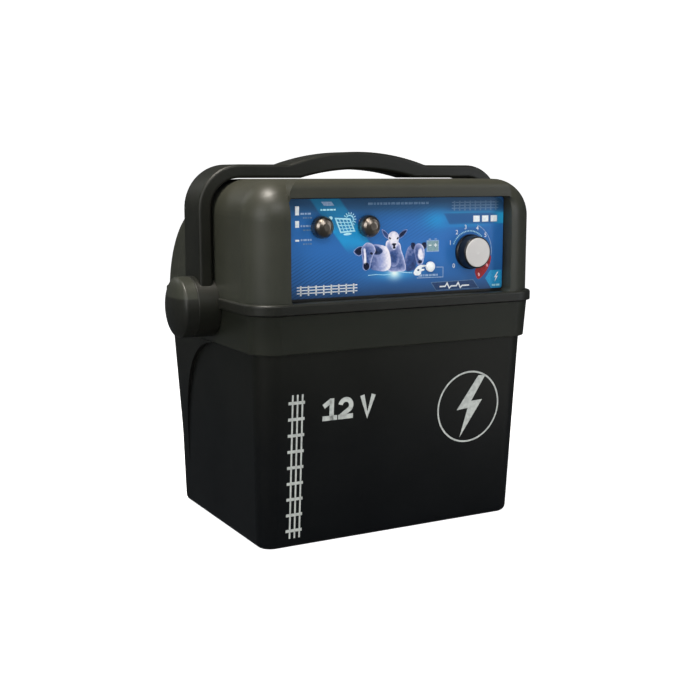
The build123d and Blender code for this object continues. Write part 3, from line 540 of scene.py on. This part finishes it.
def ribbons(name, lines, width, ink, level=1, lay=onFilm, body="lid"):
    # strokes of even width: every line becomes two rails half a width to each side, along
    # normal = (-dz, dx) / length, with the joints' normals averaged
    points, faces = [], []
    for line in lines:
        p = np.asarray(line, float)
        step = np.diff(p, axis=0)
        normal = np.stack([-step[:, 1], step[:, 0]], 1) / np.hypot(step[:, 0], step[:, 1])[:, None]
        closed = np.allclose(p[0], p[-1])
        before = np.vstack([normal[-1:] if closed else normal[:1], normal])
        after = np.vstack([normal, normal[:1] if closed else normal[-1:]])
        joint = before + after
        joint *= (width / np.maximum((joint * joint).sum(1), 0.8))[:, None]
        start = sum(len(q) for q in points)
        points += [p - joint, p + joint]
        n = len(p)
        a = start + np.arange(n - 1)
        faces.append(np.stack([a, a + 1, a + 1 + n, a + n], 1))
    flat = np.vstack(points)
    return addMesh(name, lay(flat, level), np.vstack(faces), inks[ink], body)


def arc(x, z, radius, start, end, count=24):
    # points of a circle from start to end degrees: (x + r cos a, z + r sin a)
    a = np.radians(np.linspace(start, end, count))
    return np.stack([x + radius * np.cos(a), z + radius * np.sin(a)], 1)


def lettering(name, words, size, x, z, ink, level, heavy):
    # plain characters on the film, made a mesh, centred on (x, z); heavy thickens the strokes
    curve = bpy.data.curves.new(name, "FONT")
    curve.body, curve.size, curve.offset = words, size, heavy
    curve.align_x, curve.align_y = "CENTER", "CENTER"
    holder = bpy.data.objects.new(name + "Curve", curve)
    bpy.context.scene.collection.objects.link(holder)
    bpy.context.view_layer.update()
    flat = bpy.data.meshes.new_from_object(holder.evaluated_get(bpy.context.evaluated_depsgraph_get()))
    bpy.data.objects.remove(holder)
    places = np.zeros(len(flat.vertices) * 3)
    flat.vertices.foreach_get("co", places)
    places = places.reshape(-1, 3)[:, :2] + (x, z)
    faces = [list(p.vertices) for p in flat.polygons]
    bpy.data.meshes.remove(flat)
    return addMesh(name, onFilm(places, level), faces, inks[ink], "lid")


def dashes(name, x, z, length, height, ink, seed, level=1):
    # stand-in for a line of small print: short blocks of uneven length in a row
    rng = np.random.default_rng(seed)
    lengths = rng.uniform(0.7, 2.4, 60) * height
    starts = np.concatenate([[0], np.cumsum(lengths + 0.45 * height)[:-1]])
    keep = starts + lengths < length
    lines = [[(x + a, z), (x + a + b, z)] for a, b in zip(starts[keep], lengths[keep])]
    return ribbons(name, lines, height, ink, level)


def shadedPatch(name, outline, base, rim=0.0, up=0.0, right=0.0, level=2, power=5.0):
    # fan of rings from the middle m to the outline c: p = m + v (c - m);
    # shade = base + rim v^power + up (z - mz) / height + right (x - mx) / width
    curve = facingFront(smoothClosed(outline, 6))
    middle = curve.mean(0)
    v = np.array([0.02, 0.25, 0.5, 0.7, 0.85, 0.95, 1.0])
    points = middle + v[:, None, None] * (curve - middle)
    span = np.ptp(curve, axis=0)
    place = (points - middle) / span
    shade = base + rim * v[:, None] ** power + up * place[..., 1] + right * place[..., 0]
    count = len(curve)
    faces = gridFaces(len(v), count, closed=True)[:, ::-1].tolist() + [list(range(count))]
    piece = addMesh(name, onFilm(points.reshape(-1, 2), level), faces, inks["tones"], "lid")
    layerData = piece.data.attributes.new("shade", "FLOAT", "POINT")
    layerData.data.foreach_set("value", shade.ravel())
    return piece


def oval(x, z, rx, rz, lean=0.0, count=10):
    # ellipse (rx cos a, rz sin a) turned by lean degrees about (x, z)
    a = np.linspace(0, 2 * np.pi, count, endpoint=False)
    c, s = math.cos(math.radians(lean)), math.sin(math.radians(lean))
    return np.stack([x + rx * np.cos(a) * c - rz * np.sin(a) * s,
                     z + rx * np.cos(a) * s + rz * np.sin(a) * c], 1)


# farm animals, from the back layer to the front; shade runs from 0 (navy) to 1 (white)
animals = {
    "calfBody": ([(7.3, 257), (11, 261), (15, 259), (17, 250), (16.3, 241), (12, 238.6), (6.5, 239),
                  (5, 247)],
                 dict(base=0.28, rim=0.12, up=0.3, right=-0.15, level=1)),
    "calfEarLeft": ([(11.8, 263.2), (15.5, 263), (16.2, 259), (13.6, 257.4), (11.6, 259.8)],
                    dict(base=0.02, rim=0.12, level=2)),
    "calfEarRight": ([(22.8, 262.4), (26.6, 263.4), (28.0, 260), (26.3, 257.6), (24, 258.2)],
                     dict(base=0.02, rim=0.12, level=2)),
    "calfHead": ([(19.3, 262.6), (23.2, 261), (25.4, 256.5), (25.2, 249.6), (23.8, 245), (21, 243),
                  (18, 244.6), (16, 251), (14.8, 256.8), (16, 261)],
                 dict(base=0.4, rim=0.3, up=0.1, right=0.35, level=3)),
    "calfBlaze": ([(19.5, 257.5), (22.5, 258), (24.6, 252), (24.3, 248), (20.5, 248), (18.6, 251.5)],
                  dict(base=0.92, rim=-0.35, level=4)),
    "calfNose": (oval(21.0, 246.3, 2.1, 1.6), dict(base=0.02, level=5)),
    "sheepBody": ([(-12.6, 266), (-14.4, 259), (-13, 250), (-12, 240), (-3, 238.6), (5.8, 239.5),
                   (4.8, 248.5), (1.6, 257), (-1.0, 264)],
                  dict(base=0.42, rim=0.5, up=0.25, level=3, power=7)),
    "sheepChest": ([(-9.5, 257), (-2.8, 257), (-0.5, 250), (-3, 244), (-8.5, 243.5), (-10.6, 250)],
                   dict(base=0.22, rim=0.26, up=-0.15, level=4, power=2)),
    "cowBody": ([(-28, 262), (-20, 262.4), (-13, 259.8), (-9.6, 252), (-9.4, 243), (-14, 239.6),
                 (-22, 240), (-29.5, 242.4), (-29, 250)],
                dict(base=0.62, rim=0.1, up=0.12, right=0.75, level=5, power=3)),
    "cowEarLeft": ([(-46.2, 257.1), (-42.8, 260.6), (-38, 261.6), (-36.8, 257.5), (-40.8, 253.4)],
                   dict(base=0.0, rim=0.95, level=6, power=9)),
    "cowEarRight": ([(-26, 262.2), (-21, 260.8), (-17.2, 257), (-21, 254), (-26.5, 255)],
                    dict(base=0.12, rim=0.35, up=0.35, level=6, power=6)),
    "cowHead": ([(-36.9, 262.2), (-33, 264.7), (-27.5, 263.2), (-24.6, 258), (-27, 253.4), (-28.9, 247.9),
                 (-30.2, 242.9), (-33.9, 240.8), (-37.3, 242.8), (-37.0, 248), (-38.2, 254), (-38.7, 259)],
                dict(base=0.34, rim=0.42, up=0.1, right=0.12, level=7, power=6)),
    "cowBlaze": ([(-36.6, 259.5), (-34.6, 259), (-33.8, 252), (-34.0, 246.6), (-36.0, 246.6),
                  (-36.0, 252.5)],
                 dict(base=0.95, rim=-0.25, level=8)),
    "cowMuzzle": (oval(-33.6, 244.3, 2.9, 3.3, 5), dict(base=-0.1, rim=0.15, level=8)),
    "cowEye": (oval(-28.7, 255.3, 1.5, 1.1, -20), dict(base=-0.05, level=8)),
    "sheepEarLeft": ([(-18.5, 275.6), (-14.5, 273.9), (-10.7, 269.8), (-11.4, 267.2), (-15.8, 269.8)],
                     dict(base=0.25, rim=0.55, level=6, power=6)),
    "sheepEarRight": ([(7.6, 274.7), (3.5, 274.5), (-0.9, 271), (-1.0, 267.4), (3.8, 269.8)],
                      dict(base=0.02, rim=0.75, level=6, power=7)),
    "sheepHead": ([(-5.9, 273.9), (-2.1, 271.8), (-1.0, 267.8), (-2.5, 261), (-5.8, 257.5), (-9.2, 260.4),
                   (-11.4, 265.5), (-12.0, 269.9), (-9.8, 272.9)],
                  dict(base=0.93, rim=-0.2, up=0.1, level=7, power=4)),
    "sheepEyeLeft": (oval(-10.2, 267.9, 1.25, 0.8, -40), dict(base=-0.1, level=8)),
    "sheepEyeRight": (oval(-2.3, 267.7, 1.25, 0.8, 40), dict(base=-0.1, level=8)),
    "sheepNose": ([(-8.3, 262.9), (-5.9, 263.5), (-3.6, 262.9), (-5.0, 261), (-4.3, 259), (-7.2, 259),
                   (-6.8, 261)], dict(base=-0.2, level=8)),
}
for name, (outline, tones) in animals.items():
    shadedPatch(name, outline, **tones)
print("film and animals printed")


def levelMarks():
    # three battery-level marks at the left edge, each with two lines of small print
    for i, (z, height) in enumerate(((293.0, 7.5), (281.8, 5.6), (268.2, 1.6))):
        ribbons(f"levelBar{i}", [[(-102.0 + 0.4, z), (-98.0, z)]], height, "white")
        dashes(f"levelNoteA{i}", -96.6, z - height / 2 + 1.2, 11, 1.5, "pale", 10 + i)
        dashes(f"levelNoteB{i}", -94.4, z - height / 2 - 2.2, 9.5, 1.3, "dim", 20 + i)


def solarSign():
    # tilted solar panel with cells, the sun behind its corner and a foot
    corners = np.array([(-63.6, 286.0), (-49.8, 285.2), (-45.4, 275.2), (-58.6, 274.2)])
    ribbons("solarFrame", [np.vstack([corners, corners[:1]])], 1.3, "ice", 3)
    cells = []
    for t in (0.25, 0.5, 0.75):
        cells.append([corners[0] + t * (corners[1] - corners[0]),
                      corners[3] + t * (corners[2] - corners[3])])
    for t in (0.28, 0.52, 0.76):
        cells.append([corners[0] + t * (corners[3] - corners[0]),
                      corners[1] + t * (corners[2] - corners[1])])
    ribbons("solarCells", cells, 0.75, "ice", 2)
    sunX, sunZ = -50.0, 284.8
    ribbons("sunRing", [arc(sunX, sunZ, 3.6, -40, 150)], 0.9, "ice", 2)
    rays = [[arc(sunX, sunZ, 4.4, a, a, 1)[0], arc(sunX, sunZ, 6.4, a, a, 1)[0]]
            for a in range(-45, 170, 24)]
    ribbons("sunRays", rays, 0.7, "ice", 2)
    patch("solarFoot", oval(-52.0, 272.6, 3.9, 1.05, 4), "ice", 2)


def terminalSigns():
    # minus and plus beside the two solar terminals
    patch("minusDot", oval(-68.2, 286.4, 1.9, 1.5), "ice", 2)
    ribbons("plusSign", [[(-41.0, 283.8), (-36.4, 283.8)], [(-38.7, 281.6), (-38.7, 286.0)]], 1.1, "pink", 3)
    patch("plusGlow", oval(-38.4, 283.8, 3.0, 2.6), "plate", 2)


def dialScale():
    # numbers 1 to 5 round the top of the dial, 0 at the lower left, a dotted arc, a red stop zone
    dial = {"arc": 18.8, "first": 156, "last": 47, "dots": 22, "numbers": 22.6}
    angles = np.radians(np.linspace(dial["first"], dial["last"], dial["dots"]))
    dots = [[(dialX + (dial["arc"] - 0.6) * math.cos(a), dialZ + (dial["arc"] - 0.6) * math.sin(a)),
             (dialX + (dial["arc"] + 0.6) * math.cos(a), dialZ + (dial["arc"] + 0.6) * math.sin(a))]
            for a in angles]
    ribbons("dialDots", dots, 0.9, "ice", 1)
    numbers = {"1": 158, "2": 128.5, "3": 102, "4": 68.5, "5": 40, "0": 216}
    for digit, angle in numbers.items():
        a = math.radians(angle)
        reach = dial["numbers"] if digit != "0" else 21.0
        lettering("dialNumber" + digit, digit, 5.6, dialX + reach * math.cos(a), dialZ + reach * math.sin(a),
                  "white", 2, 0.02)
    zone = [(81.0, 237.5), (82.0, 230.2), (85.2, 228.4), (92, 234.0), (97.0, 242.5), (97.6, 249),
            (93.5, 247)]
    patch("stopZone", zone, "red", 1)
    for i, (x, z) in enumerate(((84.6, 232.4), (93.6, 240.6))):
        patch(f"stopMark{i}", oval(x, z, 1.0, 1.7, 20), "pink", 2)
    ribbons("dialSweep", [arc(dialX - 1.5, dialZ, 25.8, 68, -8, 30)], 0.55, "pale", 1)


def batterySign():
    # small battery with its two poles
    box = [(28.2, 255.2), (40.4, 255.2), (40.4, 264.6), (28.2, 264.6), (28.2, 255.2)]
    patch("batterySignBack", box[:-1], "sage", 1, rounded=False)
    ribbons("batterySignEdge", [box, [(30, 266), (32.4, 266)], [(36.2, 266), (38.6, 266)]], 0.8, "pale", 2)
    signs = [[(30.0, 260.6), (32.8, 260.6)], [(35.6, 260.6), (38.8, 260.6)], [(37.2, 259.0), (37.2, 262.2)]]
    ribbons("batterySignPoles", signs, 0.9, "white", 2)


def testSign():
    # pointing hand beside the button, and a bracket round its line of small print
    hand = [(14.4, 237.4), (17, 241), (20.4, 243.2), (26.6, 243.3), (26.4, 241.9), (22.9, 241.1), (23, 239.9),
            (25.5, 239.8), (25.2, 238.4), (22.5, 237.8), (21.8, 235.4), (18.6, 234.2), (15.3, 235.0)]
    patch("pointingHand", hand, "white", 6)
    patch("handKnuckle", oval(19.3, 239.0, 1.1, 0.9), "night", 7)
    bracket = [(38.2, 240.9), (45.5, 240.7), (45.5, 231.8), (18.0, 232.0)]
    ribbons("testBracket", [bracket], 0.7, "pale", 1)
    dashes("testNote", 19.5, 234.0, 22.0, 1.8, "pale", 31, 2)


def wireSign(name, x, z, width, height, ink, posts, lay=onFilm, upright=False, body="lid", level=2):
    # generic paddock fence: posts and three wires between them
    lines = [[(x + width * (i + 0.5) / posts, z), (x + width * (i + 0.5) / posts, z + height)]
             for i in range(posts)]
    wires = [[(x, z + height * t), (x + width, z + height * t)] for t in (0.25, 0.55, 0.85)]
    if upright:
        lines = [[(x + (b - z), z + (a - x)) for a, b in line] for line in lines]
        wires = [[(x + (b - z), z + (a - x)) for a, b in line] for line in wires]
    ribbons(name + "Posts", lines, height * 0.17, ink, level, lay, body)
    ribbons(name + "Wires", wires, height * 0.1, ink, level, lay, body)


def boltOutline(x, z, height):
    # plain lightning bolt, pointing down, fitted to a height
    shape = np.array([(0.16, 0.5), (-0.22, -0.04), (-0.01, -0.02), (-0.14, -0.5), (0.26, 0.1), (0.05, 0.09),
                      (0.3, 0.5)])
    return shape * height + (x, z)


def cornerSigns():
    # top right: outlined fence and three charge bars; bottom right: bolt on a cyan flag, pulse line
    wireSign("upperFence", 54.0, 290.8, 51.0, 8.6, "dim", 9)
    bars = [[(77.5 + 9.6 * i, 283.2), (84.5 + 9.6 * i, 283.2)] for i in range(3)]
    ribbons("chargeBars", bars, 5.6, "white", 2)
    flag = [(91.8, 228.6), (97.2, 235.8), (110.2, 235.8), (110.2, 220.4), (108.6, 219.3), (98.4, 219.3)]
    patch("cyanFlag", flag, "cyan", 2, rounded=False)
    patch("flagBolt", boltOutline(103.6, 229.4, 9.0), "white", 3, rounded=False)
    dashes("flagNote", 99.4, 222.0, 9.6, 1.8, "ice", 41, 3)
    frameLine = [(32.9, 227.3), (78.4, 227.8), (84.4, 220.2), (38.3, 220.0), (32.9, 227.3)]
    patch("pulsePlate", frameLine[:-1], "night", 1, rounded=False)
    ribbons("pulseFrame", [frameLine], 0.55, "dim", 2)
    pulse = [(42, 223.2), (48, 223.2), (50, 226.0), (52.4, 221.4), (54.4, 223.2), (60, 223.2), (62, 226.0),
             (64.4, 221.4), (66.4, 223.2), (74, 223.2)]
    ribbons("pulseLine", [pulse], 1.25, "white", 3)
    dashes("topNote", -32.0, 298.0, 63, 2.0, "dim", 51)
    mark = [(-74.6, 296.8), (-64.8, 296.8), (-67.6, 300.2), (-77.4, 300.2)]
    patch("bandMarkWhite", mark, "pale", 2, rounded=False)
    dashes("bandNote", -78.0, 293.4, 18, 1.4, "ice", 61, 2)
    wireSign("lowerFence", -100.5, 221.6, 58.0, 8.4, "white", 8)


levelMarks()
solarSign()
terminalSigns()
dialScale()
batterySign()
testSign()
cornerSigns()
streaks = [[(-32, 236.4), (-24, 236.9), (-16, 236.2), (-9, 236.6)], [(0, 238.2), (6, 237.4), (13, 236.8)]]
ribbons("lightStreaks", streaks, 0.5, "ice", 9)
print("panel signs printed")

tubPrints = {"ringX": 75.0, "ringZ": 110.0, "ringR": 33.2, "ringWidth": 1.6, "boltHeight": 58.0,
             "voltLow": 112.0, "voltHigh": 131.6, "stroke": 4.3}


def tubPrinting():
    # fence running up the front, the rated voltage drawn in even strokes, and a ringed bolt
    wireSign("tubFence", -110.0, 9.0, 129.0, 15.5, "silver", 9, onTub, upright=True, body="tub", level=0)
    low, high, stroke = (tubPrints[key] for key in ("voltLow", "voltHigh", "stroke"))
    foot, crown = low + stroke / 2, high - stroke / 2
    bow = 5.3
    one = [[(-68.4, low), (-68.4, high)], [(-76.4, 124.9), (-69.4, crown)], [(-77.2, foot), (-62.8, foot)]]
    hook = np.vstack([arc(-54.6, crown - bow, bow, 170, -38), [(-60.3, foot)]])
    two = [hook, [(-61.8, foot), (-47.2, foot)]]
    vee = [[(-38.4, high), (-32.8, low + 1.0), (-27.0, high)]]
    ribbons("voltage", one + two + vee, stroke, "silver", 0, onTub, "tub")
    ring = arc(tubPrints["ringX"], tubPrints["ringZ"], tubPrints["ringR"], 0, 360, 97)
    ribbons("boltRing", [ring], tubPrints["ringWidth"], "silver", 0, onTub, "tub")
    bolt = boltOutline(tubPrints["ringX"], tubPrints["ringZ"], tubPrints["boltHeight"])
    patch("ringBolt", bolt, "silver", 0, onTub, rounded=False, body="tub")


tubPrinting()
print("tub printed")
